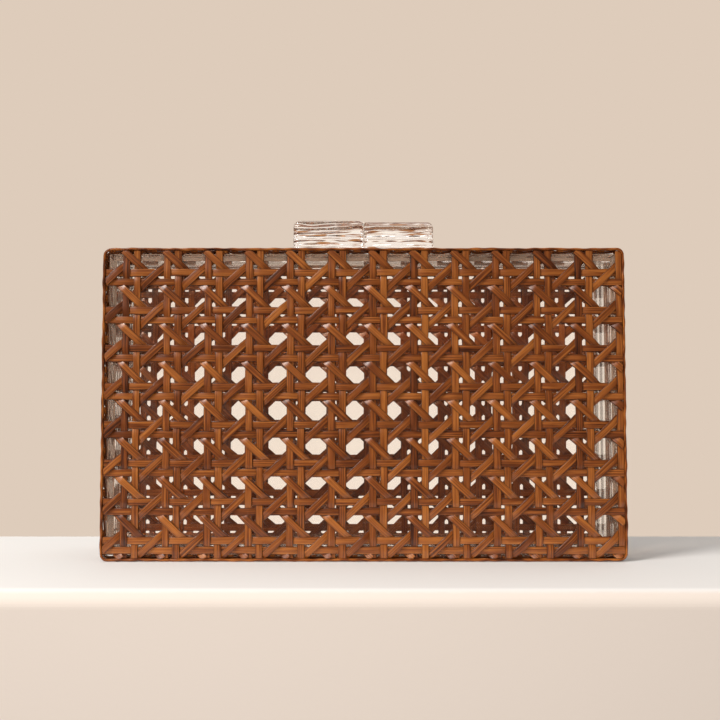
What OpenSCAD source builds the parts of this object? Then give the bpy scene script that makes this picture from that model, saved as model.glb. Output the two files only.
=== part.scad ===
// Box clutch: two clear acrylic half boxes covered in woven cane.
// They are hinged along the bottom edge and closed by a pair of clear blocks on top.

/* [Body] */
// overall width of the closed box
body_w = 206; // [170:1:240]
// height of the closed box without the clasp
body_h = 123; // [100:1:150]
// depth of the closed box from face to face
body_d = 50; // [40:1:70]
// corner radius seen from the front
corner_r = 3; // [2.7:0.1:8]

/* [Acrylic] */
// wall of the two trays
wall = 2.5; // [1.5:0.1:4]
// depth of the clear rim of each half
rim_d = 8; // [6:0.5:12]
// gap between the two rims when closed
parting_gap = 0.3; // [0.2:0.05:0.6]

/* [Cane] */
// thickness of the woven cane over the acrylic
cane_t = 2.4; // [1.8:0.1:2.6]
// thickness of the mat below the strands that lie on top
mat_t = 1.3; // [0.8:0.1:1.4]
// width of the upright and level strands
strand_w = 2.9; // [2:0.1:3.2]
// width of the slanting strands
slant_w = 2.9; // [2:0.1:3.4]
// distance from one pair of uprights to the next
pitch_u = 16.2; // [14:0.1:20]
// distance from one pair of level strands to the next
pitch_v = 15; // [13:0.1:18]
// distance between the two uprights of a pair
pair_u = 4.3; // [3.6:0.1:5.4]
// distance between the two level strands of a pair
pair_v = 3.8; // [3.5:0.1:5]
// space between neighbouring strands on top
strand_gap = 0.3; // [0.2:0.05:0.6]
// woven edge left solid around each sheet
sheet_edge = 0.8; // [0.5:0.1:2]
// sideways place of the weave on the front face
front_shift_u = -2.4; // [-8:0.1:8]
// sideways place of the weave on the back face
back_shift_u = 4.4; // [-8:0.1:8]
// height of the weave on the front face
front_shift_v = -2.8; // [-7:0.1:7]
// height of the weave on the back face
back_shift_v = -2.6; // [-7:0.1:7]
// gap between the top and bottom strips and the end strips
strip_gap = 0.2; // [0.1:0.05:0.5]
// thickness of the flat cane laid on edge around each face
binding_w = 1.3; // [1.1:0.1:1.8]
// radius of the edges of that cane
binding_r = 0.5; // [0.3:0.05:0.5]
// play around the edge binding
binding_play = 0.05; // [0.02:0.01:0.09]

/* [Hinge] */
// radius of the hinge knuckles
knuckle_r = 2.4; // [2:0.1:3]
// number of knuckles on both rims together
knuckle_count = 11; // [5:2:15]
// gap between neighbouring knuckles
knuckle_gap = 0.3; // [0.2:0.05:0.6]
// step from the end of a knuckle to the end of the web that carries it
knuckle_step = 0.06; // [0.04:0.01:0.1]
// gap around a knuckle in the other rim
knuckle_relief = 0.4; // [0.3:0.05:0.8]
// height of the knuckles above the table
knuckle_lift = 0.2; // [0.1:0.05:0.5]
// acrylic left above the knuckles
rail_cover = 1.5; // [1:0.1:4]
// radius of the steel hinge pin
pin_r = 0.8; // [0.6:0.05:1]
// play between the pin and its bore
pin_play = 0.05; // [0.02:0.01:0.09]
// length of the plug at each end of the bore
plug_l = 3; // [2:0.5:6]
// largest opening angle
open_angle = 95; // [60:5:110]
// spare angle left between the two rims at full opening
open_spare = 5; // [3:1:10]

/* [Clasp] */
// width of one clasp block
clasp_w = 28.5; // [20:0.5:40]
// height of the clasp blocks
clasp_h = 14; // [10:0.5:20]
// distance that a block reaches over the other rim
clasp_reach = 5; // [4:0.5:6]
// gap between the two clasp blocks
clasp_gap = 0.8; // [0.5:0.1:1.5]
// radius of the outer upper corner of a block
clasp_outer_r = 2.6; // [1.5:0.1:5]
// radius of the inner upper corner of a block
clasp_inner_r = 1.2; // [0.6:0.1:3]
// radius of the front and back upper edges of a block
clasp_edge_r = 2.3; // [1:0.1:2.4]
// gap under the end of a block that reaches over the other rim
clasp_lift = 0.4; // [0.3:0.05:0.8]
// radius of the snap rib on a block
snap_r = 0.7; // [0.5:0.05:0.9]
// height of the snap rib over the side of its block
snap_h = 0.3; // [0.15:0.05:0.35]
// distance of the snap rib from the parting line
snap_y = 2.5; // [1.5:0.25:3]
// distance of the snap rib from the ends of its block
snap_end = 2; // [1.5:0.25:4]

/* [Hidden] */
$fn = 48;
overlap = 0.2;
half_w = body_w / 2;
half_d = body_d / 2;
mid_z = body_h / 2;
// outline of the acrylic trays
tray_w = body_w - 2 * cane_t;
tray_h = body_h - 2 * cane_t;
tray_r = corner_r - cane_t;
tray_face_y = half_d - cane_t;
// opening inside the trays and rims
hollow_w = tray_w - 2 * wall;
hollow_h = tray_h - 2 * wall;
hollow_bottom = cane_t + wall;
// side sheets, from the tray face to the rim
side_depth = tray_face_y - rim_d;
side_mid_y = rim_d + side_depth / 2;
mat_outer_w = tray_w + 2 * mat_t;
mat_outer_h = tray_h + 2 * mat_t;
flat_w = body_w - 2 * corner_r;
flat_h = body_h - 2 * corner_r;
// octagonal gap of the weave
gap_u = (pitch_u - pair_u - strand_w) / 2;
gap_v = (pitch_v - pair_v - strand_w) / 2;
slope = pitch_v / pitch_u;
slant_len = sqrt(pitch_u * pitch_u + pitch_v * pitch_v);
slant_rise = slant_w * slant_len / (2 * pitch_u);
slant_run = slant_w * slant_len / (2 * pitch_v);
cut_u = (pitch_u / 2 - slant_run) * (1 - gap_v / (pitch_v / 2 - slant_rise));
cut_v = (pitch_v / 2 - slant_rise) * (1 - gap_u / (pitch_u / 2 - slant_run));
half_strand = strand_w / 2;
half_gap = strand_gap / 2;
// hinge along the bottom edge
hinge_z = knuckle_r + knuckle_lift;
relief_r = knuckle_r + knuckle_relief;
bore_r = pin_r + pin_play;
rail_top = hinge_z + relief_r + rail_cover;
knuckle_pitch = flat_w / knuckle_count;
groove_angle = (open_angle + open_spare) / 2;
pin_l = flat_w - knuckle_gap - 2 * plug_l;
// face sheets, inside the binding
face_w = body_w - 2 * binding_w;
face_h = body_h - 2 * binding_w;
face_r = corner_r - binding_w;
binding_path_r = corner_r - binding_w / 2;
binding_y = half_d - cane_t / 2;
face_gap = parting_gap / 2;
clasp_d = rim_d + clasp_reach;

// Flat outlines

module rounded_rect(w, h, r) {
    square([w - 2 * r, h], center = true);
    square([w, h - 2 * r], center = true);
    for (x = [-1, 1], y = [-1, 1])
        translate([x * (w / 2 - r), y * (h / 2 - r)])
            circle(r = r);
}

// Stands a flat outline up at the given depth in front of the parting line.
module upright(depth, thickness) {
    translate([0, -depth, mid_z])
        rotate([90, 0, 0])
            linear_extrude(height = thickness)
                children();
}

// The weave: each cell has two uprights, two level strands and two slanting strands

// Copies of one cell's outline over a sheet, placed at the middles of the octagonal gaps.
module cells(w, h, shift_u, shift_v) {
    first_u = ceil((-w / 2 - shift_u) / pitch_u - 1);
    last_u = floor((w / 2 - shift_u) / pitch_u + 1);
    first_v = ceil((-h / 2 - shift_v) / pitch_v - 1);
    last_v = floor((h / 2 - shift_v) / pitch_v + 1);
    for (i = [first_u : last_u], j = [first_v : last_v])
        translate([shift_u + i * pitch_u, shift_v + j * pitch_v])
            children();
}

module gap_outline() {
    polygon([[gap_u, -cut_v], [gap_u, cut_v], [cut_u, gap_v], [-cut_u, gap_v],
             [-gap_u, cut_v], [-gap_u, -cut_v], [-cut_u, -gap_v], [cut_u, -gap_v]]);
}

// Strand pieces that lie on top, around the crossing right of and above a gap.
module top_strands() {
    reach_v = pitch_v / 2 + pair_u / 2 * slope - slant_rise - half_gap;
    reach_u = pitch_u / 2 + pair_v / 2 / slope - slant_run - half_gap;
    inner_u = pair_u / 2 - half_strand - half_gap;
    inner_v = pair_v / 2 - half_strand - half_gap;
    side = half_strand - half_gap;
    for (turn = [1, -1]) {
        translate([pitch_u / 2, pitch_v / 2])
            scale_turn(turn)
                translate([-pair_u / 2 - side, -inner_v])
                    square([2 * side, reach_v + inner_v]);
        translate([pitch_u / 2, pitch_v / 2])
            scale_turn(turn)
                translate([-inner_u, pair_v / 2 - side])
                    square([reach_u + inner_u, 2 * side]);
    }
    over_v = pitch_v / 2 - pair_v / 2 - half_strand - half_gap;
    over_u = pitch_u / 2 - pair_u / 2 - half_strand - half_gap;
    run = slant_run - half_gap;
    rise = slant_rise - half_gap;
    translate([pitch_u / 2, 0])
        polygon([[-over_v / slope - run, over_v], [-over_v / slope + run, over_v],
                 [over_v / slope + run, -over_v], [over_v / slope - run, -over_v]]);
    translate([0, pitch_v / 2])
        polygon([[-over_u, -over_u * slope - rise], [over_u, over_u * slope - rise],
                 [over_u, over_u * slope + rise], [-over_u, -over_u * slope + rise]]);
}

module scale_turn(turn) {
    rotate(turn > 0 ? 0 : 180)
        children();
}

module sheet_outline(w, h, r) {
    if (r > 0)
        rounded_rect(w, h, r);
    else
        square([w, h], center = true);
}

// A flat woven sheet: a mat with octagonal gaps, and the strands on top of it as ridges.
module woven_sheet(w, h, r, shift_u, shift_v) {
    linear_extrude(height = mat_t)
        difference() {
            sheet_outline(w, h, r);
            intersection() {
                square([w - 2 * sheet_edge, h - 2 * sheet_edge], center = true);
                cells(w, h, shift_u, shift_v)
                    gap_outline();
            }
        }
    translate([0, 0, mat_t - overlap])
        linear_extrude(height = cane_t - mat_t + overlap)
            intersection() {
                sheet_outline(w - sheet_edge, h - sheet_edge, r - sheet_edge / 2);
                cells(w, h, shift_u, shift_v)
                    top_strands();
            }
}

// Front half, with the back half as the same pieces turned round

module half_tray() {
    difference() {
        upright(rim_d, tray_face_y - rim_d)
            rounded_rect(tray_w, tray_h, tray_r);
        upright(rim_d - 1, tray_face_y - wall - rim_d + 1)
            square([hollow_w, hollow_h], center = true);
    }
}

module half_face_cane(shift_u, shift_v) {
    translate([0, -tray_face_y, mid_z])
        rotate([90, 0, 0])
            woven_sheet(face_w, face_h, face_r, shift_u, shift_v);
}

// Four strips of webbing around the sides; the two end strips turn the corners.
module half_side_cane(shift_u, shift_v) {
    for (turn = [0, 180])
        translate([0, -side_mid_y, mid_z])
            rotate([0, turn, 0])
                translate([0, 0, tray_h / 2])
                    woven_sheet(flat_w - 2 * strip_gap, side_depth, 0, turn == 0 ? shift_u : -shift_u, 0);
    for (turn = [90, 270])
        translate([0, -side_mid_y, mid_z])
            rotate([0, turn, 0])
                translate([0, 0, tray_w / 2])
                    woven_sheet(flat_h, side_depth, 0, turn == 90 ? -shift_v : shift_v, 0);
    for (side = [-1, 1])
        upright(rim_d, side_depth)
            intersection() {
                difference() {
                    rounded_rect(mat_outer_w, mat_outer_h, tray_r + mat_t);
                    rounded_rect(tray_w, tray_h, tray_r);
                }
                for (end = [-1, 1])
                    translate([side * half_w, end * mid_z])
                        square(2 * corner_r, center = true);
            }
}

// Flat cane laid on edge around the face, over the ends of the side strips.
module binding_section() {
    rounded_rect(binding_w - 2 * binding_play, cane_t - 2 * binding_play, binding_r);
}

module half_binding() {
    for (turn = [0, 180]) {
        translate([0, -binding_y, mid_z])
            rotate([0, turn, 0])
                translate([-flat_w / 2, 0, mid_z - binding_w / 2])
                    rotate([0, 90, 0])
                        linear_extrude(height = flat_w)
                            binding_section();
        translate([0, -binding_y, mid_z])
            rotate([0, turn, 0])
                translate([half_w - binding_w / 2, 0, -flat_h / 2])
                    linear_extrude(height = flat_h)
                        binding_section();
    }
    for (quarter = [0 : 3]) {
        x = quarter == 0 || quarter == 3 ? 1 : -1;
        z = quarter < 2 ? 1 : -1;
        translate([x * flat_w / 2, -binding_y, mid_z + z * flat_h / 2])
            rotate([90, 0, 0])
                rotate([0, 0, quarter * 90])
                    rotate_extrude(angle = 90)
                        translate([binding_path_r, 0])
                            binding_section();
    }
}

// Rims with the knuckles of the hinge; own is 0 for the even knuckles and 1 for the odd ones

module along_hinge(from, to, r) {
    translate([from, 0, hinge_z])
        rotate([0, 90, 0])
            cylinder(h = to - from, r = r);
}

// A groove below the hinge line lets the two halves swing open.
module hinge_groove() {
    drop = hinge_z + 1;
    spread = drop * tan(groove_angle);
    translate([-half_w - 1, 0, hinge_z])
        rotate([90, 0, 90])
            linear_extrude(height = body_w + 2)
                polygon([[0, 0], [-spread, -drop], [spread, -drop]]);
}

function knuckle_from(k) = -flat_w / 2 + k * knuckle_pitch + knuckle_gap / 2;
function knuckle_to(k) = -flat_w / 2 + (k + 1) * knuckle_pitch - knuckle_gap / 2;

module half_rim(own) {
    web_gap = knuckle_gap - knuckle_step;
    last = knuckle_count - 1;
    difference() {
        union() {
            difference() {
                upright(face_gap, rim_d - face_gap)
                    difference() {
                        rounded_rect(body_w, body_h, corner_r);
                        translate([0, (rail_top - hollow_bottom) / 2])
                            square([hollow_w, hollow_h - rail_top + hollow_bottom], center = true);
                    }
                hinge_groove();
                for (k = [1 - own : 2 : last])
                    along_hinge(k == 0 ? -half_w - 1 : knuckle_from(k) - web_gap,
                                k == last ? half_w + 1 : knuckle_to(k) + web_gap, relief_r);
                if (own == 0) {
                    along_hinge(-half_w - 1, knuckle_from(0) - knuckle_step, relief_r);
                    along_hinge(knuckle_to(last) + knuckle_step, half_w + 1, relief_r);
                }
            }
            for (k = [own : 2 : last])
                along_hinge(knuckle_from(k), knuckle_to(k), knuckle_r);
        }
        along_hinge(-half_w - 2, half_w + 2, bore_r);
    }
}

// One clasp block, standing on its rim and reaching over the other one

// A rectangle left of the origin, with its two upper corners rounded.
module arched(w, h, left_r, right_r) {
    translate([-w, 0])
        square([left_r + overlap, h - left_r]);
    translate([-w + left_r, 0])
        square([w - left_r - right_r, h]);
    translate([-right_r - overlap, 0])
        square([right_r + overlap, h - right_r]);
    translate([-w + left_r, h - left_r])
        circle(r = left_r);
    translate([-right_r, h - right_r])
        circle(r = right_r);
}

module half_clasp_block() {
    difference() {
        intersection() {
            translate([-clasp_gap / 2, clasp_reach + 1, body_h])
                rotate([90, 0, 0])
                    linear_extrude(height = clasp_d + 2)
                        arched(clasp_w, clasp_h, clasp_outer_r, clasp_inner_r);
            translate([-clasp_gap / 2 - clasp_w - 1, clasp_reach, body_h])
                rotate([90, 0, 90])
                    linear_extrude(height = clasp_w + 2)
                        arched(clasp_d, clasp_h, clasp_edge_r, clasp_edge_r);
        }
        translate([-clasp_w - clasp_gap - 1, -face_gap - knuckle_relief, body_h - 1])
            cube([clasp_w + clasp_gap + 2, clasp_d, clasp_lift + 1]);
    }
    translate([-clasp_gap / 2 - snap_r + snap_h, snap_y, body_h + snap_end])
        cylinder(h = clasp_h - 2 * snap_end, r = snap_r);
}

// Named pieces

module clear() {
    color([0.93, 0.95, 0.95, 0.35])
        children();
}

module cane() {
    color([0.5, 0.26, 0.1])
        children();
}

module turned() {
    rotate([0, 0, 180])
        children();
}

module front_tray() { clear() half_tray(); }
module front_rim() { clear() half_rim(1); }
module front_face_cane() { cane() half_face_cane(front_shift_u, front_shift_v); }
module front_side_cane() { cane() half_side_cane(front_shift_u, front_shift_v); }
module front_binding() { cane() half_binding(); }
module front_clasp_block() { clear() half_clasp_block(); }
module back_tray() { clear() turned() half_tray(); }
module back_rim() { clear() turned() half_rim(0); }
module back_face_cane() { cane() turned() half_face_cane(back_shift_u, back_shift_v); }
module back_side_cane() { cane() turned() half_side_cane(back_shift_u, back_shift_v); }
module back_binding() { cane() turned() half_binding(); }
module back_clasp_block() { clear() turned() half_clasp_block(); }

module hinge_pin() {
    color([0.7, 0.7, 0.72])
        along_hinge(-pin_l / 2, pin_l / 2, pin_r);
}

module pin_plugs() {
    clear()
        for (side = [0, 180])
            rotate([0, 0, side])
                along_hinge(pin_l / 2, pin_l / 2 + plug_l, pin_r);
}

front_tray();
front_rim();
front_face_cane();
front_side_cane();
front_binding();
front_clasp_block();
back_tray();
back_rim();
back_face_cane();
back_side_cane();
back_binding();
back_clasp_block();
hinge_pin();
pin_plugs();
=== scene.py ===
"""Box clutch of woven cane over clear acrylic, dressed and lit for a studio picture."""

import logging
import math
from dataclasses import dataclass, field, fields, replace
from enum import Enum
from typing import Any, Callable

import bpy
import numpy as np
from numpy.typing import NDArray
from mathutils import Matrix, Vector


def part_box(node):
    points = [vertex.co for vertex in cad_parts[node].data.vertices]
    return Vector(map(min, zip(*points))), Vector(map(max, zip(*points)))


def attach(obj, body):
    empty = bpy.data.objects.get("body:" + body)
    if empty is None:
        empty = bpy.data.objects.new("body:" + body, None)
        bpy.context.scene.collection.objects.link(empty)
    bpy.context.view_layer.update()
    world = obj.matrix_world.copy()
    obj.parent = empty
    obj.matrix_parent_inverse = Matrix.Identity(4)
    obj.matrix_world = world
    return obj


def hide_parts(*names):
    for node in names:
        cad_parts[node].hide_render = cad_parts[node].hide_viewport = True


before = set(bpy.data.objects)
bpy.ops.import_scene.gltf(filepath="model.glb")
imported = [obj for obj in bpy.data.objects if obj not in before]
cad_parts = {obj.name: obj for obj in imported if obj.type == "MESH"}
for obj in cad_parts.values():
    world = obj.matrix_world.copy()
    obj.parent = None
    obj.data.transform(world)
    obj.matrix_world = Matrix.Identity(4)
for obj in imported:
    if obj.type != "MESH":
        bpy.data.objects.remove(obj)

log = logging.getLogger("box_clutch")

MM = 0.001
Floats = NDArray[np.float64]
Ints = NDArray[np.int64]
Place = Callable[[Floats, Floats, Floats], Floats]
Pair = tuple[float, float]
Triple = tuple[float, float, float]
Colour = tuple[float, float, float, float]
Material = bpy.types.Material
Socket = bpy.types.NodeSocket
Tree = bpy.types.NodeTree

# Numbers of the sockets that a Mix node uses when it mixes colours.
MIX_A = 6
MIX_B = 7
MIX_RESULT = 2


class Half(Enum):
    """The two half boxes, on either side of the parting line."""

    FRONT = "front"
    BACK = "back"

    @property
    def body(self) -> str:
        """Name of the moving body that this half belongs to."""
        return f"{self.value}_half"

    @property
    def outward(self) -> float:
        """Sign of the Y direction in which this half's face looks."""
        return -1.0 if self is Half.FRONT else 1.0

    def node(self, piece: str) -> str:
        """Name of this half's node for one kind of piece."""
        return f"{self.value}_{piece}"


class Slot(Enum):
    """The record's material slots."""

    ACRYLIC = "acrylic"
    CANE = "cane"
    BINDING = "binding"


# Finishes


def rgba(colour: str) -> Colour:
    """Turns an sRGB hex colour into linear light by sRGB's own curve.

    Args:
        colour: six hex digits with a leading hash.

    Returns:
        Red, green and blue in linear light, from 0 to 1, and full cover.
    """
    values = [int(colour[i : i + 2], 16) / 255 for i in (1, 3, 5)]
    red, green, blue = [v / 12.92 if v <= 0.04045 else ((v + 0.055) / 1.055) ** 2.4 for v in values]
    return red, green, blue, 1.0


def repeats(size_mm: float, share: float = 1.0) -> float:
    """Texture scale in repeats per metre for a pattern of this size, times a share for stretched ones."""
    return share / (size_mm * MM)


def add_node(
    tree: Tree,
    kind: str,
    settings: dict[str, Any] | None = None,
    inputs: dict[str | int, Any] | None = None,
    output: str | int = 0,
) -> Socket | None:
    """Adds one node, sets its properties and fills or links its inputs.

    Args:
        tree: node tree that takes the node.
        kind: Blender's name for the type of node.
        settings: properties by name; "ramp" lists a colour ramp's places and hex colours.
        inputs: input name or number, with a socket to link or a value to set.
        output: name or number of the output to give back.

    Returns:
        That output's socket, or nothing from a node without outputs.
    """
    node = tree.nodes.new(kind)
    for key, value in (settings or {}).items():
        if key != "ramp":
            setattr(node, key, value)
            continue
        stops = node.color_ramp.elements
        for number, (place, colour) in enumerate(value):
            # A new ramp comes with two stops.
            stop = stops[number] if number < 2 else stops.new(place)
            stop.position = place
            stop.color = rgba(colour)
    for key, value in (inputs or {}).items():
        if isinstance(value, Socket):
            tree.links.new(value, node.inputs[key])
        else:
            node.inputs[key].default_value = value
    return node.outputs[output] if node.outputs else None


def add_noise(tree: Tree, at: Socket, scale: Triple, detail: float = 2.0, roughness: float = 0.5) -> Socket:
    """Adds cloudy noise with a scale of its own along each axis.

    Args:
        tree: node tree that takes the nodes.
        at: places at which it is drawn.
        scale: clouds along each axis, per unit of those places.
        detail: number of finer layers.
        roughness: strength of each layer, as a share of the coarser one.

    Returns:
        The noise, from 0 to 1.
    """
    stretched = add_node(tree, "ShaderNodeMapping", None, {"Vector": at, "Scale": scale})
    return add_node(tree, "ShaderNodeTexNoise", None, {
        "Vector": stretched, "Scale": 1.0, "Detail": detail, "Roughness": roughness})


def add_range(
    tree: Tree, value: Socket, source: Pair = (0.0, 1.0), target: Pair = (0.0, 1.0), smooth: bool = False
) -> Socket:
    """Adds a change from one range to another, held at its ends.

    Args:
        tree: node tree that takes the node.
        value: what is changed.
        source: the range that it comes from.
        target: the range that it goes to.
        smooth: whether it starts and ends gently.

    Returns:
        The changed value.
    """
    curve = "SMOOTHSTEP" if smooth else "LINEAR"
    return add_node(tree, "ShaderNodeMapRange", {"interpolation_type": curve}, {
        "Value": value, "From Min": source[0], "From Max": source[1],
        "To Min": target[0], "To Max": target[1]})


def add_blend(tree: Tree, share: Socket, low: Socket | Colour, high: Socket | Colour) -> Socket:
    """Adds a blend of two colours, which is low where the share is 0 and high where it is 1."""
    return add_node(tree, "ShaderNodeMix", {"data_type": "RGBA"}, {
        0: share, MIX_A: low, MIX_B: high}, output=MIX_RESULT)


def new_material(name: str) -> tuple[Material, Tree]:
    """Makes an empty node material.

    Args:
        name: name of the real material.

    Returns:
        The material and its cleared node tree.
    """
    material = bpy.data.materials.new(name)
    material.use_nodes = True
    material.node_tree.nodes.clear()
    return material, material.node_tree


@dataclass(frozen=True)
class VarnishedCane:
    """Stained and varnished rattan skin: long fibres, edges darker partly as cut edges and partly as
    painted shade, a soft satin gloss.

    Attributes:
        fibre_mm: width of a fibre, which runs streak_mm along the strand.
        stain_mm: length of a cloud of stain, of which stain_per_mm lie across a millimetre.
        fibre_gain: how much the fibres change the shade, with fibre_shift to centre it.
        stain_gain: how much the clouds of stain change the shade.
        tone_gain: how much strands differ in shade.
        stops: shades at which the colour is dark, mid and light.
        edge_from: place across a strand from which it darkens, by edge_dark at its edge, partly as painted
            shade.
        gloss: roughness of the smoothest and the roughest fibres.
    """

    name: str
    dark: str = "#331202"
    mid: str = "#7a3a0a"
    light: str = "#ac6526"
    fibre_mm: float = 0.4
    streak_mm: float = 26.0
    stain_mm: float = 18.0
    stain_per_mm: float = 0.35
    fibre_gain: float = 1.35
    fibre_shift: float = -0.345
    stain_gain: float = 0.35
    tone_gain: float = 0.34
    stops: Triple = (0.36, 0.62, 0.9)
    edge_from: float = 0.72
    edge_dark: float = 0.85
    gloss: Pair = (0.24, 0.54)
    relief: float = 0.8
    relief_mm: float = 0.12
    coat: float = 0.75
    coat_roughness: float = 0.34
    ior: float = 1.5
    specular: float = 0.3

    def material(self) -> Material:
        """Builds the cane from its strand map, in millimetres along and across each strand.

        Returns:
            The finished material.
        """
        material, tree = new_material(self.name)
        strand = add_node(tree, "ShaderNodeUVMap", {"uv_map": "strand"})
        tone = add_node(tree, "ShaderNodeAttribute", {"attribute_name": "tone"}, output="Fac")
        edge = add_node(tree, "ShaderNodeAttribute", {"attribute_name": "edge"}, output="Fac")
        # Fibres of rattan are about 0.1 mm wide; they are drawn coarser so that they show.
        fibre_scale = (1 / self.streak_mm, 1 / self.fibre_mm, 1.0)
        fibres = add_noise(tree, strand, fibre_scale, detail=3.0, roughness=0.6)
        stain = add_noise(tree, strand, (1 / self.stain_mm, self.stain_per_mm, 1.0))
        # The shade is the sum of fibres, stain and the strand's own tone, each times its gain.
        shade = self.fibre_shift
        for part, gain in ((fibres, self.fibre_gain), (stain, self.stain_gain), (tone, self.tone_gain)):
            shade = add_node(tree, "ShaderNodeMath", {"operation": "MULTIPLY_ADD"}, {
                0: part, 1: gain, 2: shade})
        colour = add_node(tree, "ShaderNodeValToRGB", {
            "ramp": list(zip(self.stops, (self.dark, self.mid, self.light)))}, {0: shade})
        # Strand edges darken partly as cut edges and partly as painted shade where strands meet.
        edge_wear_and_shade = add_range(tree, edge, (self.edge_from, 1.0), (0.0, self.edge_dark), smooth=True)
        edged = add_blend(tree, edge_wear_and_shade, colour, rgba(self.dark))
        gloss = add_range(tree, fibres, target=self.gloss)
        relief = add_node(tree, "ShaderNodeBump", None, {
            "Height": fibres, "Strength": self.relief, "Distance": self.relief_mm * MM})
        skin = add_node(tree, "ShaderNodeBsdfPrincipled", None, {
            "Base Color": edged, "Roughness": gloss, "Normal": relief, "Coat Weight": self.coat,
            "Coat Roughness": self.coat_roughness, "IOR": self.ior, "Specular IOR Level": self.specular})
        add_node(tree, "ShaderNodeOutputMaterial", None, {"Surface": skin})
        return material


@dataclass(frozen=True)
class CastAcrylic:
    """Cast and polished acrylic: water clear, with a faint uneven polish that softens reflections.

    Attributes:
        polish_mm: size of the patches of polish, which are hazy by up to haze.
        polish_range: noise between which the haze grows; line_range is for the polishing lines and
            cane_range for the lines of painted reflection.
        line_mm: width of the polishing wheel's lines, which run line_long_mm along the walls.
        milk: how pale the strongest lines are; the rest have milk_least of that.
        pane_mm: depth from the parting line at which the walls end; lines and ripples fade before it.
        ripple_mm: spacing of the ripples along ripple_axis, or 0 for none.
        cane_mm: width of the brown lines of painted reflection, or 0 for none; along X they are stretched.
    """

    name: str = "polished_cast_acrylic"
    colour: str = "#fffaf5"
    ior: float = 1.49
    polish_mm: float = 22.0
    polish_range: Pair = (0.35, 0.75)
    haze: float = 0.03
    line_mm: float = 1.3
    line_long_mm: float = 60.0
    line_range: Pair = (0.42, 0.6)
    milk: float = 0.05
    milk_least: float = 0.3
    pane_mm: float = 19.5
    fade_mm: float = 1.0
    ripple_mm: float = 0.0
    ripple_deep_mm: float = 0.72
    ripple_axis: str = "Z"
    ripple_bend: float = 4.0
    cane_mm: float = 0.0
    cane_stretch: float = 0.12
    cane_range: Pair = (0.58, 0.64)
    # Brown of the painted reflection of the cane.
    cane: str = "#8e4d22"

    def mirrored_cane(self, tree: Tree, at: Socket) -> Socket:
        """Colour of a solid block, with broken brown lines painted in as a reflection of the woven edge
        under it.

        Args:
            tree: node tree of the acrylic.
            at: places on the piece.

        Returns:
            The socket that gives the colour.
        """
        fine = repeats(self.cane_mm)
        woven = add_noise(tree, at, (repeats(self.cane_mm, self.cane_stretch), fine, fine))
        shown = add_range(tree, woven, self.cane_range)
        return add_blend(tree, shown, rgba(self.colour), rgba(self.cane))

    def material(self) -> Material:
        """Builds clear acrylic that lets the lamps' light through.

        Returns:
            The finished material.
        """
        material, tree = new_material(self.name)
        at = add_node(tree, "ShaderNodeTexCoord", output="Object")
        wipe = add_node(tree, "ShaderNodeTexNoise", None, {
            "Vector": at, "Scale": repeats(self.polish_mm), "Detail": 3.0})
        haze = add_range(tree, wipe, self.polish_range, (0.0, self.haze))
        # Fine lines that the polishing wheel left along the walls catch light and show pale from the edge.
        long = repeats(self.line_long_mm)
        lines = add_noise(tree, at, (long, repeats(self.line_mm), long))
        depth = add_node(tree, "ShaderNodeSeparateXYZ", None, {0: at}, output="Y")
        inward = add_node(tree, "ShaderNodeMath", {"operation": "ABSOLUTE"}, {0: depth})
        wall_end = ((self.pane_mm - self.fade_mm) * MM, self.pane_mm * MM)
        walls = add_range(tree, inward, wall_end, (1.0, 0.0))
        pale = add_range(tree, lines, self.line_range, (self.milk_least * -self.milk, -self.milk))
        way = add_node(tree, "ShaderNodeMath", {"operation": "MULTIPLY_ADD"}, {
            0: walls, 1: pale, 2: 1.0})
        clear = add_node(tree, "ShaderNodeBsdfPrincipled", None, {
            "Base Color": rgba(self.colour), "Roughness": haze, "IOR": self.ior,
            "Transmission Weight": way})
        # The block's brown lines are a painted reflection of the woven edge under it.
        if self.cane_mm > 0:
            tree.links.new(self.mirrored_cane(tree, at), clear.node.inputs["Base Color"])
        if self.ripple_mm > 0:
            # The wave texture repeats every 2 pi / 20 of its scaled length.
            ripples = add_node(tree, "ShaderNodeTexWave", {"bands_direction": self.ripple_axis}, {
                "Vector": at, "Scale": repeats(self.ripple_mm, math.pi / 10),
                "Distortion": self.ripple_bend, "Detail": 2.0, "Detail Scale": 0.6}, output="Fac")
            relief = add_node(tree, "ShaderNodeBump", None, {
                "Height": ripples, "Strength": walls, "Distance": self.ripple_deep_mm * MM})
            tree.links.new(relief, clear.node.inputs["Normal"])
        # Shadow and diffuse rays pass straight through, so that light reaches the cane behind.
        open_way = add_node(tree, "ShaderNodeBsdfTransparent", None, {"Color": rgba(self.colour)})
        path = add_node(tree, "ShaderNodeLightPath").node.outputs
        lit = add_node(tree, "ShaderNodeMath", {"operation": "MAXIMUM"}, {
            0: path["Is Shadow Ray"], 1: path["Is Diffuse Ray"]})
        mixed = add_node(tree, "ShaderNodeMixShader", None, {0: lit, 1: clear, 2: open_way})
        add_node(tree, "ShaderNodeOutputMaterial", None, {"Surface": mixed})
        return material


@dataclass(frozen=True)
class DrawnSteel:
    """Drawn stainless wire: bright, with fine lines along its length."""

    name: str = "drawn_stainless_steel"
    colour: str = "#c2c3c4"
    line_mm: float = 0.12
    line_stretch: float = 0.04
    gloss: Pair = (0.18, 0.38)

    def material(self) -> Material:
        """Builds the steel with drawing lines along X.

        Returns:
            The finished material.
        """
        material, tree = new_material(self.name)
        at = add_node(tree, "ShaderNodeTexCoord", output="Object")
        fine = repeats(self.line_mm)
        lines = add_noise(tree, at, (repeats(self.line_mm, self.line_stretch), fine, fine))
        gloss = add_range(tree, lines, target=self.gloss)
        wire = add_node(tree, "ShaderNodeBsdfPrincipled", None, {
            "Base Color": rgba(self.colour), "Metallic": 1.0, "Roughness": gloss})
        add_node(tree, "ShaderNodeOutputMaterial", None, {"Surface": wire})
        return material


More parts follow.
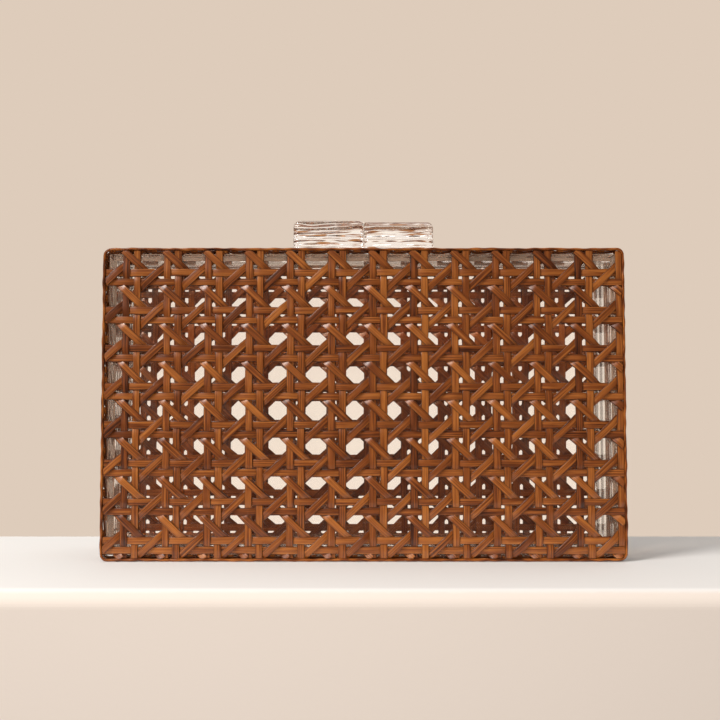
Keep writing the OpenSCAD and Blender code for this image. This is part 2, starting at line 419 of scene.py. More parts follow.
@dataclass(frozen=True)
class LimeWash:
    """Warm lime wash on a plastered shelf: matt, pale on top, and a shade deeper on the front as painted
    shade.
    """

    name: str = "lime_washed_plaster"
    top: str = "#ece8e4"
    front: str = "#e4d7cc"
    edge_mm: float = 1.5
    grit_mm: float = 1.6
    relief: float = 0.15
    relief_mm: float = 0.2
    roughness: float = 0.85
    specular: float = 0.2

    def material(self) -> Material:
        """Builds the shelf's colour from the depth below its top.

        Returns:
            The finished material.
        """
        material, tree = new_material(self.name)
        at = add_node(tree, "ShaderNodeTexCoord", output="Object")
        height = add_node(tree, "ShaderNodeSeparateXYZ", None, {0: at}, output="Z")
        # The deeper colour of the front is painted shade.
        fade = add_range(tree, height, (0.0, -self.edge_mm * MM), smooth=True)
        colour = add_blend(tree, fade, rgba(self.top), rgba(self.front))
        grit = add_node(tree, "ShaderNodeTexNoise", None, {
            "Vector": at, "Scale": repeats(self.grit_mm), "Detail": 4.0})
        relief = add_node(tree, "ShaderNodeBump", None, {
            "Height": grit, "Strength": self.relief, "Distance": self.relief_mm * MM})
        wash = add_node(tree, "ShaderNodeBsdfPrincipled", None, {
            "Base Color": colour, "Roughness": self.roughness, "Normal": relief,
            "Specular IOR Level": self.specular})
        add_node(tree, "ShaderNodeOutputMaterial", None, {"Surface": wash})
        return material


# Surfaces


@dataclass
class Surface:
    """Arrays of one closed surface before they become a mesh.

    Attributes:
        points: places of the vertices, in metres.
        quads: vertex numbers of the four-sided faces.
        caps: vertex numbers of the end faces, all with the same count of corners.
        strand: millimetres along and across the strand at each vertex.
        tone: shade of the strand that each vertex belongs to, from 0 to 1.
        edge: 0 at the middle of a strand and 1 at its edges.
    """

    points: Floats
    quads: Ints
    caps: Ints
    strand: Floats
    tone: Floats
    edge: Floats

    @classmethod
    def joined(cls, parts: "list[Surface]") -> "Surface":
        """Puts several surfaces into one, with their vertex numbers moved on.

        Args:
            parts: surfaces to join.

        Returns:
            One surface that holds them all.
        """
        firsts = np.cumsum([0] + [len(p.points) for p in parts[:-1]])
        moved = [replace(p, quads=p.quads + n, caps=p.caps + n) for p, n in zip(parts, firsts)]
        return cls(*[np.concatenate([getattr(p, f.name) for p in moved]) for f in fields(cls)])

    def volume(self) -> float:
        """Enclosed volume: the sum of the tetrahedra from the origin to each triangle, signed."""
        fans = [self.quads[:, [0, 1, 2]], self.quads[:, [0, 2, 3]]]
        for corner in range(1, self.caps.shape[1] - 1):
            fans.append(self.caps[:, [0, corner, corner + 1]])
        a, b, c = np.moveaxis(self.points[np.concatenate(fans)], 1, 0)
        return float(np.einsum("ij,ij->i", a, np.cross(b, c)).sum() / 6)

    def outward(self) -> "Surface":
        """The same surface with every face turned to look outwards."""
        if self.volume() >= 0:
            return self
        return replace(self, quads=self.quads[:, ::-1], caps=self.caps[:, ::-1])


def grid_quads(rows: int, columns: int, ring: bool) -> Ints:
    """Faces of a grid whose columns close into a loop.

    Each face joins a vertex with the next in its row and the two below them.

    Args:
        rows: number of rows of vertices.
        columns: number of vertices in a row.
        ring: whether the last row joins the first.

    Returns:
        Vertex numbers, four for each face.
    """
    row = np.arange(rows if ring else rows - 1)[:, None]
    column = np.arange(columns)[None, :]
    beside = (column + 1) % columns
    here, below = row * columns, (row + 1) % rows * columns
    corners = [here + column, here + beside, below + beside, below + column]
    return np.stack([np.broadcast_to(c, (len(row), columns)) for c in corners], -1).reshape(-1, 4)


def end_caps(rows: int, columns: int) -> Ints:
    """Faces that close a grid's first and last row, each with all the vertices of its row."""
    around = np.arange(columns)
    return np.stack([around[::-1], (rows - 1) * columns + around])


def node_box(node: str) -> tuple[Floats, Floats]:
    """Lowest and highest corner of the solid that a piece stands for, in metres."""
    low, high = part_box(node)
    return np.array(low), np.array(high)


@dataclass(frozen=True)
class Piece:
    """What every new piece has besides its surface.

    Attributes:
        node: CAD node that the piece stands for.
        suffix: end of the piece's name, after the node's.
        half: half box that carries it.
        slot: record slot of its finish; it is not used.
        sharp_deg: angle above which an edge is shown sharp.
        flat: whether wide faces keep their own direction in the shading, and so look flat.
    """

    node: str
    suffix: str
    half: Half
    slot: Slot
    sharp_deg: float
    flat: bool

    def make(self, surface: Surface, finish: Material) -> None:
        """Turns a surface into an object that rides on its half and stands for its node.

        Args:
            surface: arrays of the piece.
            finish: its material.
        """
        name = f"{self.node}_{self.suffix}"
        surface = surface.outward()
        mesh = bpy.data.meshes.new(name)
        corners = np.concatenate([surface.quads.ravel(), surface.caps.ravel()]).astype(np.int32)
        counts = np.repeat([4, surface.caps.shape[1]], [len(surface.quads), len(surface.caps)])
        mesh.vertices.add(len(surface.points))
        mesh.vertices.foreach_set("co", surface.points.astype(np.float32).ravel())
        mesh.loops.add(len(corners))
        mesh.loops.foreach_set("vertex_index", corners)
        mesh.polygons.add(len(counts))
        mesh.polygons.foreach_set("loop_start", (np.cumsum(counts) - counts).astype(np.int32))
        mesh.polygons.foreach_set("use_smooth", np.ones(len(counts), bool))
        mesh.update(calc_edges=True)
        strand = surface.strand[corners].astype(np.float32)
        mesh.uv_layers.new(name="strand").data.foreach_set("uv", strand.ravel())
        for layer in ("tone", "edge"):
            values = getattr(surface, layer).astype(np.float32)
            mesh.attributes.new(layer, "FLOAT", "POINT").data.foreach_set("value", values)
        mesh.set_sharp_from_angle(angle=math.radians(self.sharp_deg))
        mesh.materials.append(finish)
        piece = bpy.data.objects.new(name, mesh)
        bpy.context.scene.collection.objects.link(piece)
        if self.flat:
            piece.modifiers.new("flat_faces", "WEIGHTED_NORMAL").keep_sharp = True
        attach(piece, self.half.body)
        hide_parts(self.node)
        log.info("%s: %d vertices, %d faces", name, len(mesh.vertices), len(mesh.polygons))


@dataclass(frozen=True)
class RoundedLoop:
    """A rectangle with rounded corners, run round once against the clock as seen from the front."""

    half_u: float
    half_v: float
    radius: float

    @property
    def length(self) -> float:
        """Length once round: four straights and a full circle of corners."""
        return 4 * (self.half_u + self.half_v - 2 * self.radius) + 2 * math.pi * self.radius

    def at(self, travel: Floats) -> tuple[Floats, Floats, Floats, Floats]:
        """Places on the loop.

        The loop is eight runs in turn, a straight and a quarter circle for each side. Along a
        straight the heading stays; along a corner it turns by the travel over the radius.

        Args:
            travel: distances along the loop, taken modulo its length.

        Returns:
            Across and up places, and across and up parts of the outward direction.
        """
        half_u, half_v = self.half_u, self.half_v
        inner_u, inner_v = half_u - self.radius, half_v - self.radius
        arc = math.pi / 2 * self.radius
        runs = np.array([2 * inner_u, arc, 2 * inner_v, arc] * 2)
        begins = np.cumsum(runs) - runs
        heading = np.repeat(np.arange(4), 2) * math.pi / 2
        turn = np.tile([0.0, 1 / self.radius], 4)
        first_u = np.array([-inner_u, inner_u, half_u, half_u, inner_u, -inner_u, -half_u, -half_u])
        first_v = np.array([-half_v, -half_v, -inner_v, inner_v, half_v, half_v, inner_v, -inner_v])
        travel = np.mod(travel, self.length)
        run = np.clip(np.searchsorted(begins, travel, side="right") - 1, 0, len(runs) - 1)
        gone = travel - begins[run]
        angle = heading[run] + turn[run] * gone
        flat = turn[run] == 0
        bent_u = self.radius * (np.sin(angle) - np.sin(heading[run]))
        bent_v = self.radius * (np.cos(heading[run]) - np.cos(angle))
        across = first_u[run] + np.where(flat, gone * np.cos(angle), bent_u)
        up = first_v[run] + np.where(flat, gone * np.sin(angle), bent_v)
        return across, up, np.sin(angle), -np.cos(angle)


# Woven cane


def wave(phase: Floats, keys: list[float], heights: list[float]) -> Floats:
    """Height of a strand as it passes over and under others.

    Between two crossings the height follows a smooth step, 3t squared less 2t cubed.

    Args:
        phase: place within the repeat, of which only the fraction counts.
        keys: phases of the crossings, from 0 to 1.
        heights: heights at those phases.

    Returns:
        The height at each phase.
    """
    phase = np.mod(phase, 1.0)
    at, level = np.array(keys), np.array(heights)
    step = np.clip(np.searchsorted(at, phase, side="right") - 1, 0, len(at) - 2)
    t = (phase - at[step]) / (at[step + 1] - at[step])
    return level[step] + (level[step + 1] - level[step]) * t * t * (3 - 2 * t)


@dataclass(frozen=True)
class Strand:
    """One strand of cane, straight in the sheet and waving through it."""

    u: Floats
    v: Floats
    height: Floats
    width: float


@dataclass(frozen=True)
class Sheet:
    """The room that a sheet of webbing fills, in its own places: u across and v up.

    Attributes:
        span: lowest and highest u.
        half_v: half its height, which runs from -half_v to half_v.
        gap_u: u of the middle of one octagonal gap.
        gap_v: v of the middle of one octagonal gap.
        loop: whether its two ends meet, so that strands run on past them.
    """

    span: Pair
    half_v: float
    gap_u: float = 0.0
    gap_v: float = 0.0
    loop: bool = False


@dataclass(frozen=True)
class CaneWebbing:
    """Octagonal webbing: pairs of uprights, pairs of level strands, and slants both ways.

    Heights are counted from the middle of the sheet's thickness.

    Attributes:
        pitch_u: distance between gaps across, and pitch_v up.
        pair_u: distance between the two uprights of a pair, and pair_v of two level strands.
        step: distance between the sections along a strand.
        inside: share of a strand's width that its middle keeps from the border.
        bends: phases within a repeat at which a slant starts or ends a dive.
        wobble: how far a strand sways, in waves of a length between the two of sway_mm.
        widths: least and most width of a strand, as a share of strand_w or slant_w.
        swell: share by which the width changes every swell_mm.
        tilt: how much a strand leans, as a share of its thickness.
        tone_mid: middle shade of the strands, which differ by about tone_spread.
        map_mm: room along and across from which a strand's piece of grain is taken.
    """

    pitch_u: float = 16.2 * MM
    pitch_v: float = 15.0 * MM
    pair_u: float = 4.3 * MM
    pair_v: float = 3.8 * MM
    strand_w: float = 2.95 * MM
    slant_w: float = 2.95 * MM
    thick: float = 0.8 * MM
    step: float = 1.15 * MM
    inside: float = 0.3
    bends: tuple[float, ...] = (0, 0.17, 0.35, 0.65, 0.83, 1)
    wobble: float = 0.14 * MM
    sway_mm: Pair = (24, 60)
    widths: Pair = (0.94, 1.04)
    swell: float = 0.04
    swell_mm: float = 37
    tilt: float = 0.06
    tone_mid: float = 0.5
    tone_spread: float = 0.24
    map_mm: Pair = (400, 60)

    @property
    def section(self) -> tuple[Floats, Floats, Floats]:
        """Outline of split cane, a crowned skin over flat pith.

        Returns:
            Places across in half widths and up in thicknesses, and how near the edge each is.
        """
        across = np.array([-1.0, -0.97, -0.84, 0.0, 0.84, 0.97, 1.0, 0.9, -0.9])
        up = np.array([-0.3, 0.26, 0.44, 0.5, 0.44, 0.26, -0.3, -0.5, -0.5])
        edge = np.array([1.0, 0.97, 0.84, 0.0, 0.84, 0.97, 1.0, 0.4, 0.4])
        return across, up, edge

    def run(self, start: Pair, end: Pair) -> tuple[Floats, Floats]:
        """Even places along a straight line from start to end."""
        count = max(3, math.ceil(math.dist(start, end) / self.step) + 1)
        return np.linspace(start[0], end[0], count), np.linspace(start[1], end[1], count)

    def centres(self, low: float, high: float, first: float, pitch: float) -> Floats:
        """All places first + k * pitch that lie between low and high."""
        lowest, highest = math.ceil((low - first) / pitch), math.floor((high - first) / pitch)
        return first + pitch * np.arange(lowest, highest + 1)

    def pairs(self, sheet: Sheet, upright: bool) -> list[Strand]:
        """Pairs of uprights or of level strands.

        The left upright passes under the lower and over the upper level strand, and the upper
        level strand passes under the left and over the right upright.

        Args:
            sheet: room to fill.
            upright: whether these are the uprights.

        Returns:
            The strands.
        """
        across = (sheet.span, sheet.gap_u, self.pitch_u, self.pair_u)
        upward = ((-sheet.half_v, sheet.half_v), sheet.gap_v, self.pitch_v, self.pair_v)
        (low, high), gap, pitch, pair = across if upright else upward
        ends, cross_gap, cross_pitch, cross_pair = upward if upright else across
        part, lift = cross_pair / 2 / cross_pitch, (0.5 if upright else -0.5) * self.thick
        keep = self.inside * self.strand_w
        strands = []
        for centre in self.centres(low - pitch, high + pitch, gap + pitch / 2, pitch):
            for side in (-1, 1):
                at = centre + side * pair / 2
                if not low + keep <= at <= high - keep:
                    continue
                along = self.run(*[(at, end) if upright else (end, at) for end in ends])
                phase = (along[1 if upright else 0] - cross_gap) / cross_pitch
                height = wave(phase, [0, 0.5 - part, 0.5 + part, 1], [0, side * lift, -side * lift, 0])
                strands.append(Strand(*along, height, self.strand_w))
        return strands

    def slants(self, sheet: Sheet) -> list[Strand]:
        """Slants: falling ones pass over uprights and under levels, rising ones the other way.

        Args:
            sheet: room to fill.

        Returns:
            The strands.
        """
        slope = self.pitch_v / self.pitch_u
        reach = sheet.half_v / slope
        low, high = sheet.span[0] - reach, sheet.span[1] + reach
        if sheet.loop:
            low, high = sheet.span[0], sheet.span[1] - 0.5 * self.pitch_u
        strands = []
        for rise in (-1, 1):
            foot = sheet.gap_u + self.pitch_u / 2 - rise * sheet.gap_v / slope
            for middle in self.centres(low, high, foot, self.pitch_u):
                ends = np.array([middle - reach, middle + reach])
                ends = ends if sheet.loop else np.clip(ends, *sheet.span)
                if ends[1] - ends[0] < self.slant_w:
                    continue
                along = self.run(*[(float(u), float(rise * slope * (u - middle))) for u in ends])
                phase = (along[0] - sheet.gap_u) / self.pitch_u + 0.5
                top = -rise * self.thick
                height = wave(phase, list(self.bends), [top, top, -top, -top, top, top])
                strands.append(Strand(*along, height, self.slant_w))
        return strands

    def swept(self, strand: Strand, sheet: Sheet, place: Place, rng: np.random.Generator) -> Surface:
        """Carries the section along one strand.

        A vertex is the strand's middle, moved sideways by the section and a slow wobble and up by
        the wave and the section, held inside the sheet's border, and then placed in space.

        Args:
            strand: middle line, heights and width.
            sheet: room that the strand stays in.
            place: turns u, v and height into a point in space.
            rng: seeded source of the small differences between strands.

        Returns:
            The strand's closed surface.
        """
        across, up, edge = self.section
        heading = np.array([strand.u[-1] - strand.u[0], strand.v[-1] - strand.v[0]])
        travel = np.hypot(strand.u - strand.u[0], strand.v - strand.v[0])
        heading = heading / np.hypot(*heading)
        waves = rng.uniform(*self.sway_mm, 2) * MM
        sway = self.wobble * np.sin(2 * math.pi * (travel[:, None] / waves + rng.random(2))).mean(1)
        width = strand.width * rng.uniform(*self.widths)
        swell = np.sin(2 * math.pi * (travel / (self.swell_mm * MM) + rng.random()))
        width = width * (1 + self.swell * swell)
        aside = across[None, :] * width[:, None] / 2 + sway[:, None]
        tilt = self.tilt * rng.normal() * across[None, :]
        height = strand.height[:, None] + (up[None, :] + tilt) * self.thick
        limit_u = (-math.inf, math.inf) if sheet.loop else sheet.span
        u = np.clip(strand.u[:, None] - heading[1] * aside, *limit_u)
        v = np.clip(strand.v[:, None] + heading[0] * aside, -sheet.half_v, sheet.half_v)
        along = np.broadcast_to(travel[:, None] / MM + rng.uniform(0, self.map_mm[0]), u.shape)
        over = aside / MM + rng.uniform(0, self.map_mm[1])
        tone = np.clip(rng.normal(self.tone_mid, self.tone_spread), 0, 1)
        return Surface(
            place(u, v, height).reshape(-1, 3),
            grid_quads(*u.shape, ring=False),
            end_caps(*u.shape),
            np.stack([along, over], -1).reshape(-1, 2),
            np.full(u.size, tone),
            np.broadcast_to(edge, u.shape).ravel(),
        )

    def woven(self, sheet: Sheet, place: Place, seed: int) -> Surface:
        """All strands of a sheet, one after the other.

        Args:
            sheet: room to fill.
            place: turns u, v and height into a point in space.
            seed: number that settles the small differences between strands.

        Returns:
            The whole sheet.
        """
        rng = np.random.default_rng(seed)
        strands = self.pairs(sheet, upright=True) + self.pairs(sheet, upright=False)
        strands += self.slants(sheet)
        return Surface.joined([self.swept(strand, sheet, place, rng) for strand in strands])


@dataclass
class FaceCane:
    """The flat sheet of webbing on the large face of one half."""

    half: Half
    gap_u: float
    gap_v: float
    seed: int
    sharp_deg: float = 50
    webbing: CaneWebbing = field(default_factory=CaneWebbing)

    def build(self, finish: Material) -> None:
        """Weaves the sheet in the room of its node: u runs across the face, v up, heights outwards.

        Args:
            finish: material of the cane.
        """
        node = self.half.node("face_cane")
        low, high = node_box(node)
        middle, size = (low + high) / 2, high - low
        out = self.half.outward

        def place(u: Floats, v: Floats, height: Floats) -> Floats:
            """Point on the face: u along the width, v up, height along the outward direction."""
            return np.stack([middle[0] - out * u, middle[1] + out * height, middle[2] + v], -1)

        sheet = Sheet((-size[0] / 2, size[0] / 2), size[2] / 2, self.gap_u, self.gap_v)
        surface = self.webbing.woven(sheet, place, self.seed)
        Piece(node, "webbing", self.half, Slot.CANE, self.sharp_deg, flat=True).make(surface, finish)


@dataclass
class SideCane:
    """The band of webbing wrapped round the four sides of one half."""

    half: Half
    seed: int
    thick: float = 2.4 * MM
    corner: float = 3.0 * MM
    sharp_deg: float = 50
    webbing: CaneWebbing = field(default_factory=CaneWebbing)

    def build(self, finish: Material) -> None:
        """Weaves the band: u runs once round the box, v across its depth, heights outwards.

        Args:
            finish: material of the cane.
        """
        node = self.half.node("side_cane")
        low, high = node_box(node)
        middle, size = (low + high) / 2, high - low
        inset = self.thick / 2
        loop = RoundedLoop(size[0] / 2 - inset, size[2] / 2 - inset, self.corner - inset)
        # The pitch is fitted so that whole repeats close round the box.
        fitted = loop.length / round(loop.length / self.webbing.pitch_u)

        def place(u: Floats, v: Floats, height: Floats) -> Floats:
            """Point on the band: the loop at u, moved out by the height and along the depth by v."""
            across, up, out_x, out_z = loop.at(u)
            x = middle[0] + across + out_x * height
            z = middle[2] + up + out_z * height
            return np.stack([x, middle[1] + v, z], -1)

        sheet = Sheet((0.0, loop.length), size[1] / 2, loop=True)
        surface = replace(self.webbing, pitch_u=fitted).woven(sheet, place, self.seed)
        Piece(node, "webbing", self.half, Slot.CANE, self.sharp_deg, flat=True).make(surface, finish)


@dataclass
class EdgeBinding:
    """Flat cane laid on edge round the face of one half, over the ends of the side band.

    Attributes:
        power: how square the section is; 2 would be an ellipse.
        press: share by which the section is pressed in at most.
        sway: how far the binding strays from its loop.
        tone_mid: middle shade, which changes by up to tone_swing.
    """

    half: Half
    wide: float = 1.2 * MM
    corner: float = 3.0 * MM
    power: float = 3.2
    points_round: int = 16
    step: float = 0.9 * MM
    press: float = 0.3
    press_waves: tuple[int, int] = (43, 71)
    sway: float = 0.13 * MM
    sway_waves: tuple[int, int] = (29, 53)
    sway_start: float = 1.0
    tone_mid: float = 0.4
    tone_swing: float = 0.5
    tone_waves: tuple[int, int] = (37, 59)
    sharp_deg: float = 60

    def beat(self, turns: Floats, waves: tuple[int, int], start: float = 0.0) -> Floats:
        """Uneven wave that closes round the loop: a sine times a cosine of two counts of waves."""
        return np.sin(waves[0] * turns + start) * np.cos(waves[1] * turns)

    def build(self, finish: Material) -> None:
        """Carries a rounded oblong along the loop of the edge, pressed in by slow waves.

        The oblong is a superellipse: cosine and sine of the angle, each raised to two over the power.

        Args:
            finish: material of the binding.
        """
        node = self.half.node("binding")
        low, high = node_box(node)
        middle, deep = (low + high) / 2, (high - low)[1] / 2
        half_size = (high - low) / 2 - self.wide / 2
        loop = RoundedLoop(half_size[0], half_size[2], self.corner - self.wide / 2)
        travel = np.linspace(0, loop.length, math.ceil(loop.length / self.step), endpoint=False)[:, None]
        angle = np.linspace(0, 2 * math.pi, self.points_round, endpoint=False)[None, :]
        across, up, out_x, out_z = loop.at(travel)
        turns = 2 * math.pi * travel / loop.length
        press = 1 - self.press * (0.5 + 0.5 * self.beat(turns, self.press_waves))
        sway = self.sway * self.beat(turns, self.sway_waves, self.sway_start)
        curve = 2 / self.power
        outwards = sway + self.wide / 2 * press * np.sign(np.cos(angle)) * np.abs(np.cos(angle)) ** curve
        sideways = deep * press * np.sign(np.sin(angle)) * np.abs(np.sin(angle)) ** curve
        x = middle[0] + across + out_x * outwards
        z = middle[2] + up + out_z * outwards
        along = np.broadcast_to(travel / MM, x.shape)
        tone = self.tone_mid + self.tone_swing * self.beat(turns, self.tone_waves)
        surface = Surface(
            np.stack([x, middle[1] + sideways, z], -1).reshape(-1, 3),
            grid_quads(*x.shape, ring=True),
            np.zeros((0, 3), np.int64),
            np.stack([along, (outwards + sideways) / MM], -1).reshape(-1, 2),
            np.broadcast_to(tone, x.shape).ravel(),
            np.zeros(x.size),
        )
        Piece(node, "strip", self.half, Slot.BINDING, self.sharp_deg, flat=False).make(surface, finish)


# Clear acrylic


@dataclass
class ClaspBlock:
    """A polished clear block on top of one half that snaps past its neighbour.

    Attributes:
        outer_r: radius of the upper corner at the outer end, and inner_r at the inner end.
        edge_r: radius of the front and back edges.
        foot_r: radius of the lower corners.
        rim_d: depth of the foot that stands on the block's own rim.
        lift: how far the foot is lifted past that, over a depth of lift_run.
    """

    half: Half
    outer_r: float = 2.6 * MM
    inner_r: float = 1.3 * MM
    edge_r: float = 2.3 * MM
    foot_r: float = 0.3 * MM
    rim_d: float = 8.0 * MM
    lift: float = 0.4 * MM
    lift_run: float = 0.2 * MM
    corner_points: int = 9
    edge_points: int = 10
    sharp_deg: float = 40

    def outline(self, wide: float, high: float) -> tuple[Floats, Floats]:
        """Front outline: a rectangle whose corners are quarter circles of three radii.

        Args:
            wide: width of the block.
            high: height of the block.

        Returns:
            Across places from the outer end, and heights above the foot.
        """
        arcs = [
            (wide, 0.0, self.foot_r, -90),
            (wide, high, self.inner_r, 0),
            (0.0, high, self.outer_r, 90),
            (0.0, 0.0, self.foot_r, 180),
        ]
        sweep = np.radians(np.linspace(0, 90, self.corner_points))
        across, up = [], []
        for u, v, radius, begin in arcs:
            angle = sweep + math.radians(begin)
            across.append(u - math.copysign(radius, u - wide / 2) + radius * np.cos(angle))
            up.append(v - math.copysign(radius, v - high / 2) + radius * np.sin(angle))
        return np.concatenate(across), np.concatenate(up)

    def build(self, finish: Material) -> None:
        """Stacks the outline from front to back, shrunk towards its foot where the edges are rounded.

        At a depth t within the edge radius r the outline is smaller by r less the root of
        r squared less (r - t) squared, on its sides and its top.

        Args:
            finish: material of the block.
        """
        node = self.half.node("clasp_block")
        low, high = node_box(node)
        size = high - low
        out = self.half.outward
        across, up = self.outline(size[0], size[2])
        quarter = np.radians(np.linspace(0, 90, self.edge_points))
        near, smaller = self.edge_r * (1 - np.cos(quarter)), self.edge_r * (1 - np.sin(quarter))
        deep = np.concatenate([near, [self.rim_d, self.rim_d + self.lift_run], size[1] - near[::-1]])
        inset = np.concatenate([smaller, [0.0, 0.0], smaller[::-1]])
        foot = np.where(deep > self.rim_d + self.lift_run / 2, self.lift, 0.0)
        middle = size[0] / 2
        u = middle + (across[None, :] - middle) * (1 - inset[:, None] / middle)
        v = np.maximum(up[None, :] * (1 - inset[:, None] / size[2]), foot[:, None])
        start = low if out < 0 else high
        y = np.broadcast_to(start[1] - out * deep[:, None], u.shape)
        surface = Surface(
            np.stack([start[0] - out * u, y, low[2] + v], -1).reshape(-1, 3),
            grid_quads(*u.shape, ring=False),
            end_caps(*u.shape),
            np.zeros((u.size, 2)),
            np.zeros(u.size),
            np.zeros(u.size),
        )
        Piece(node, "polished", self.half, Slot.ACRYLIC, self.sharp_deg, flat=True).make(surface, finish)


@dataclass
class ClearCase:
    """The trays, rims, hinge pin and its plugs, which keep their solids' own shapes."""

    trays: tuple[str, ...] = ("front_tray", "back_tray")
    rims: tuple[str, ...] = ("front_rim", "back_rim", "pin_plugs")
    steel: tuple[str, ...] = ("hinge_pin",)

    def dress(self, lined: Material, acrylic: Material, steel: Material) -> None:
        """Gives each solid its finish.

        Args:
            lined: material of the trays.
            acrylic: material of the other clear solids.
            steel: material of the pin.
        """
        for names, finish in ((self.trays, lined), (self.rims, acrylic), (self.steel, steel)):
            for name in names:
                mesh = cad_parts[name].data
                mesh.materials.clear()
                mesh.materials.append(finish)
                log.info("%s: dressed in %s", name, finish.name)


# Studio


@dataclass(frozen=True)
class SoftLamp:
    """One soft square lamp, with its place, the target that it faces and its side in metres.

    Attributes:
        glints: whether it shows in and through polished faces.
    """

    name: str
    place: Triple
    target: Triple
    size: float
    watts: float
    colour: str
    glints: bool = True

    def hang(self) -> None:
        """Hangs the lamp and turns it to its target."""
        light = bpy.data.lights.new(self.name, "AREA")
        light.shape = "SQUARE"
        light.size = self.size
        light.energy = self.watts
        light.color = rgba(self.colour)[:3]
        lamp = bpy.data.objects.new(self.name, light)
        bpy.context.scene.collection.objects.link(lamp)
        lamp.location = self.place
        lamp.visible_glossy = lamp.visible_transmission = self.glints
        aim = np.array(self.target) - np.array(self.place)
        tilt = math.acos(-aim[2] / np.linalg.norm(aim))
        lamp.rotation_euler = (tilt, 0, math.atan2(aim[1], aim[0]) - math.pi / 2)


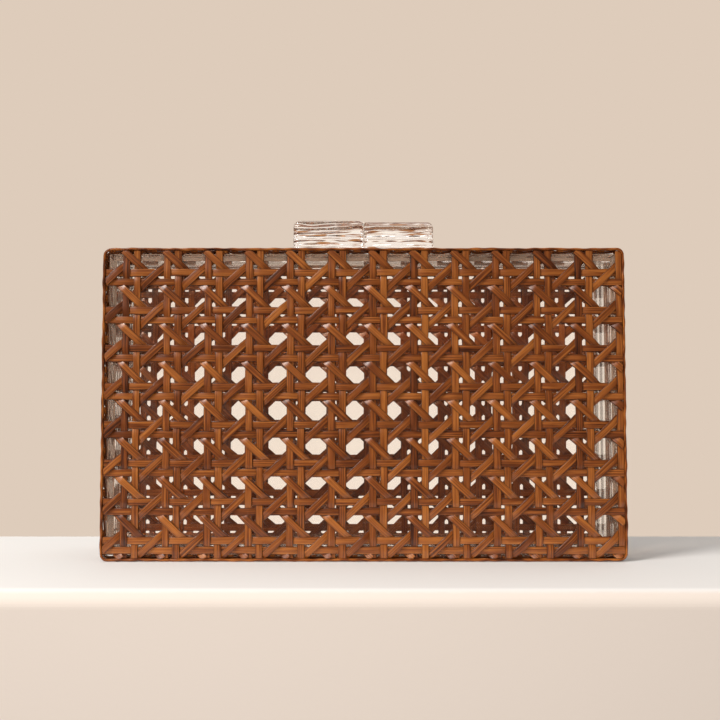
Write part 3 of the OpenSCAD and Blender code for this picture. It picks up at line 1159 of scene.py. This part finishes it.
@dataclass
class Studio:
    """Shelf, soft lamps, sky and camera.

    Attributes:
        mm_per_pixel: size of a pixel at the face, in a picture that is picture pixels wide.
        wall: colour behind the shelf, which mirrors show at a strength of wall_gloss.
        sky_light: strength of the even light, of the colour sky.
        room: heights, from 0 below to 1 above, and colours of the room seen through acrylic.
        dim_range: directions along Y between which the room brightens.
        room_light: strength of the room behind the camera and elsewhere.
        bounces: how often light may bounce before it is given up.
    """

    camera_from_face: float = 410 * MM
    camera_x: float = -1.45 * MM
    camera_z: float = 57 * MM
    pitch_deg: float = 3.0
    sensor_mm: float = 36.0
    clip: Pair = (0.01, 50.0)
    face_y: float = -25 * MM
    mm_per_pixel: float = 0.3916
    picture: int = 720
    shelf_front: float = -92 * MM
    shelf_back: float = 60 * MM
    shelf_edge: float = 6 * MM
    edge_points: int = 12
    shelf_deep: float = 0.4
    shelf_half: float = 2.0
    wall: str = "#deccbb"
    wall_gloss: float = 0.14
    sky: str = "#fffaf5"
    sky_light: float = 0.3
    room: tuple[tuple[float, str], ...] = (
        (0.38, "#86593a"), (0.435, "#efe6db"), (0.56, "#e6ddd4"), (0.7, "#e4dfda"))
    dim_range: Pair = (-0.94, -0.78)
    room_light: Pair = (0.22, 1.22)
    bounces: int = 24
    lamps: tuple[SoftLamp, ...] = (
        SoftLamp("key", (-0.7, -0.6, 0.85), (0, 0, 0.06), 0.4, 12.9, "#fffdfa"),
        SoftLamp("top", (0.1, 0.25, 0.9), (0, 0, 0.1), 1.0, 3.0, "#ffffff"),
        SoftLamp("front", (0, -0.62, 0.075), (0, 0, 0.06), 0.12, 1.1, "#fffaf5", glints=False))

    def lay_shelf(self, finish: Material) -> None:
        """Lays a thick shelf: a rectangle whose front edge is a quarter circle, drawn out along X.

        Args:
            finish: material of the shelf.
        """
        angle = np.radians(np.linspace(90, 180, self.edge_points))
        edge_y = self.shelf_front + self.shelf_edge + self.shelf_edge * np.cos(angle)
        edge_z = self.shelf_edge * (np.sin(angle) - 1)
        y = np.concatenate([[self.shelf_back], edge_y, [self.shelf_front, self.shelf_back]])
        z = np.concatenate([[0.0], edge_z, [-self.shelf_deep, -self.shelf_deep]])
        x = np.array([-self.shelf_half, self.shelf_half])[:, None]
        points = np.stack(np.broadcast_arrays(x, y[None, :], z[None, :]), -1).reshape(-1, 3)
        faces = grid_quads(2, len(y), ring=False).tolist() + end_caps(2, len(y)).tolist()
        mesh = bpy.data.meshes.new("shelf")
        mesh.from_pydata(points.tolist(), [], faces)
        mesh.materials.append(finish)
        shelf = bpy.data.objects.new("shelf", mesh)
        bpy.context.scene.collection.objects.link(shelf)

    def fill_sky(self) -> None:
        """Fills the world with an even light, shows the wall to the eye and a bright room through glass."""
        world = bpy.data.worlds.new("studio")
        bpy.context.scene.world = world
        world.use_nodes = True
        tree = world.node_tree
        tree.nodes.clear()
        path = add_node(tree, "ShaderNodeLightPath").node.outputs
        heading = add_node(tree, "ShaderNodeTexCoord", output="Generated")
        _, away, upward = add_node(tree, "ShaderNodeSeparateXYZ", None, {0: heading}).node.outputs
        # The direction upward runs from -1 to 1, and the ramp from 0 to 1.
        level = add_node(tree, "ShaderNodeMath", {"operation": "MULTIPLY_ADD"}, {
            0: upward, 1: 0.5, 2: 0.5})
        # The room is dim behind the camera, so that the panes mirror little of it.
        bright = add_range(tree, away, self.dim_range, self.room_light, smooth=True)
        room = add_node(tree, "ShaderNodeValToRGB", {"ramp": self.room}, {0: level})
        mixed = add_node(tree, "ShaderNodeBackground", None, {
            "Color": rgba(self.sky), "Strength": self.sky_light})
        wall = rgba(self.wall)
        views = (
            ("Is Camera Ray", wall, 1.0),
            ("Is Glossy Ray", wall, self.wall_gloss),
            ("Is Transmission Ray", room, bright),
        )
        for kind, colour, strength in views:
            view = add_node(tree, "ShaderNodeBackground", None, {"Color": colour, "Strength": strength})
            mixed = add_node(tree, "ShaderNodeMixShader", None, {0: path[kind], 1: mixed, 2: view})
        add_node(tree, "ShaderNodeOutputWorld", None, {"Surface": mixed})

    def stand_camera(self) -> None:
        """Stands the camera square to the face, a little below the middle and tilted up."""
        data = bpy.data.cameras.new("camera")
        data.sensor_width = self.sensor_mm
        data.lens = data.sensor_width * self.camera_from_face / MM / self.mm_per_pixel / self.picture
        data.clip_start, data.clip_end = self.clip
        camera = bpy.data.objects.new("camera", data)
        bpy.context.scene.collection.objects.link(camera)
        camera.location = (self.camera_x, self.face_y - self.camera_from_face, self.camera_z)
        camera.rotation_euler = (math.radians(90 + self.pitch_deg), 0, 0)
        bpy.context.scene.camera = camera

    def build(self) -> None:
        """Sets up the whole studio."""
        self.stand_camera()
        self.lay_shelf(LimeWash().material())
        self.fill_sky()
        for lamp in self.lamps:
            lamp.hang()
        scene = bpy.context.scene
        scene.view_settings.view_transform = "Standard"
        # Light passes many polished faces in the acrylic, and with few bounces it would look black.
        scene.cycles.max_bounces = scene.cycles.glossy_bounces = self.bounces
        scene.cycles.transmission_bounces = scene.cycles.transparent_max_bounces = self.bounces
        log.info("studio: shelf, sky, lamps and camera")


def main() -> None:
    """Builds the cane, dresses the acrylic and lights the clutch."""
    logging.basicConfig(level=logging.INFO, format="%(message)s")
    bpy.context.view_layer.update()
    cane = VarnishedCane("varnished_rattan_cane").material()
    edge_cane = VarnishedCane("varnished_binding_cane", coat=0.3, stain_mm=30.0).material()
    acrylic = CastAcrylic().material()
    lined = CastAcrylic(
        "wheel_polished_acrylic", milk=0.15, ripple_mm=3.0, ripple_deep_mm=0.7, ripple_axis="Y").material()
    # The clasp's acrylic carries brown lines of painted reflection.
    block_acrylic = CastAcrylic("rippled_cast_acrylic", ripple_mm=3.4, cane_mm=1.4).material()
    steel = DrawnSteel().material()
    FaceCane(Half.FRONT, gap_u=-2.4 * MM, gap_v=-2.8 * MM, seed=11).build(cane)
    FaceCane(Half.BACK, gap_u=4.4 * MM, gap_v=-2.6 * MM, seed=23).build(cane)
    for half, seed in ((Half.FRONT, 37), (Half.BACK, 38)):
        SideCane(half, seed).build(cane)
        EdgeBinding(half).build(edge_cane)
        ClaspBlock(half).build(block_acrylic)
    ClearCase().dress(lined, acrylic, steel)
    Studio().build()


if __name__ == "__main__":
    main()
